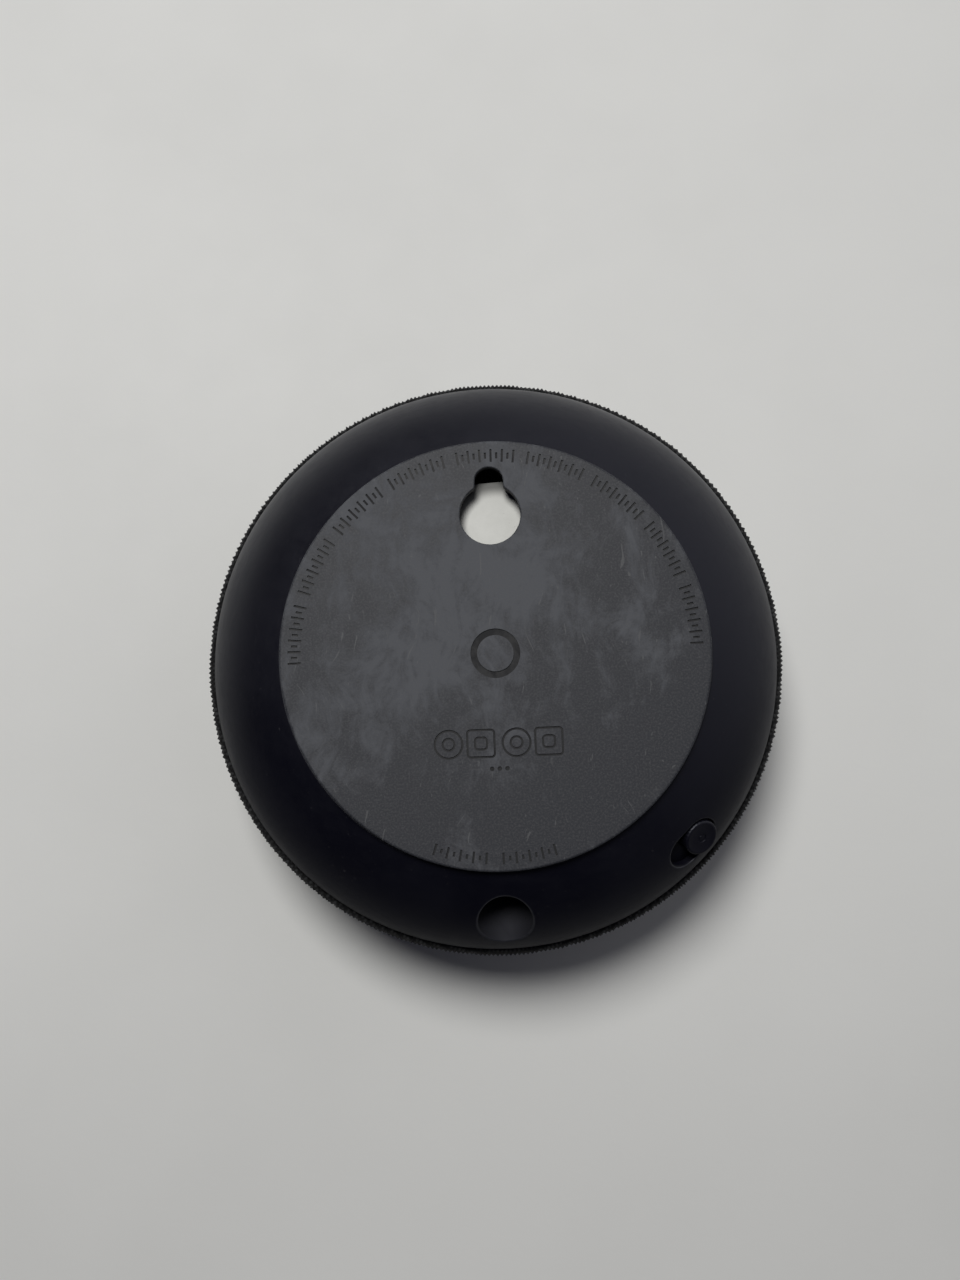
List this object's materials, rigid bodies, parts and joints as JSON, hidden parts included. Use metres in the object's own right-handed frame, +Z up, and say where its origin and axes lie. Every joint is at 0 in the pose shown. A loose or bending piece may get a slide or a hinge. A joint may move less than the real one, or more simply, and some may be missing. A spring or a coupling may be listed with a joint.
{
  "type": "smart speaker",
  "caption": "Low round puck speaker with a knitted dome, a smooth black bowl-shaped base with a power port and a sliding microphone switch, and a rubber foot with a wall-hanging keyhole.",
  "frame": {"origin": "centre of the foot's underside, on the face it stands on", "axes": "+Z up to the fabric crown, +Y to the power port at the back, -Y to the wall-hanging keyhole, microphone switch between +X and +Y"},
  "size_m": [0.098, 0.098, 0.042],
  "materials": {
    "silicone": "matte, grippy",
    "adhesive": "double-sided sheet",
    "black_shell": "fine satin texture",
    "black_inner": "moulded, matte",
    "pale_liner": "matte",
    "knit": "knitted polyester, charcoal",
    "orange_flag": "matte",
    "steel": "zinc plated",
    "tin_can": "tinned",
    "cast_alloy": "die cast, bead blasted",
    "ferrite": "matte",
    "copper": "copper, lacquered",
    "contact_brass": "plated",
    "board": "solder mask",
    "rubber_seal": "matte",
    "cone_paper": "pressed pulp",
    "damped_cloth": "resin-treated weave",
    "film": "polyimide",
    "gap_pad": "soft silicone",
    "lens": "translucent white",
    "red_lead": "PVC sleeve",
    "black_lead": "PVC sleeve"
  },
  "bodies": {
    "case": {"antenna_1": "copper", "antenna_2": "copper", "base_screw_1": "steel", "base_screw_2": "steel", "base_screw_3": "steel", "base_screw_4": "steel", "base_shell": "black_shell", "chassis_screw_1": "steel", "chassis_screw_2": "steel", "chassis_screw_3": "steel", "cone_surround": "rubber_seal", "dc_jack_housing": "black_inner", "dc_jack_pin": "contact_brass", "dc_jack_spring": "contact_brass", "driver_gasket": "rubber_seal", "fabric_cover": "knit", "foot_adhesive": "adhesive", "foot_pad": "silicone", "io_board": "board", "io_flex": "film", "led_1": "lens", "led_2": "lens", "led_3": "lens", "led_4": "lens", "light_guide": "lens", "main_board": "board", "mic_gasket_1": "rubber_seal", "mic_gasket_2": "rubber_seal", "mic_gasket_3": "rubber_seal", "microphone_1": "tin_can", "microphone_2": "tin_can", "microphone_3": "tin_can", "mute_switch_body": "tin_can", "pocket_liner": "pale_liner", "processor_shield": "tin_can", "radio_shield": "tin_can", "rim_gasket": "rubber_seal", "speaker_basket": "steel", "speaker_chamber": "cast_alloy", "speaker_magnet": "ferrite", "speaker_spider": "damped_cloth", "speaker_top_plate": "steel", "speaker_wire_1": "red_lead", "speaker_wire_2": "black_lead", "speaker_yoke": "steel", "switch_board": "board", "switch_flex": "film", "thermal_pad": "gap_pad", "top_housing": "black_inner", "touch_board": "board", "wall_mount_pocket": "black_inner"},
    "mic_slider": {"mic_slider_knob": "black_shell", "mute_flag": "orange_flag"},
    "switch_lever": {"switch_lever": "black_inner"},
    "cone_assembly": {"speaker_cone": "cone_paper", "dust_cap": "cone_paper", "voice_coil_former": "film", "voice_coil": "copper"}
  },
  "joints": [
    {"name": "mic_slider_slide", "type": "slide", "parent": "case", "child": "mic_slider", "axis": [-0.7133, 0.7009, 0], "range_m": [0, 0.003]},
    {"name": "switch_lever_slide", "type": "slide", "parent": "case", "child": "switch_lever", "axis": [-0.7133, 0.7009, 0], "range_m": [0, 0.003]},
    {"name": "cone_travel", "type": "slide", "parent": "case", "child": "cone_assembly", "axis": [0, 0, 1], "range_m": [-0.0015, 0.0015], "stiffness_N_per_m": 400, "deforming": ["cone_surround", "speaker_spider"]}
  ],
  "couplings": [
    {"joint": "switch_lever_slide", "follows": "mic_slider_slide", "ratio": 1}
  ]
}
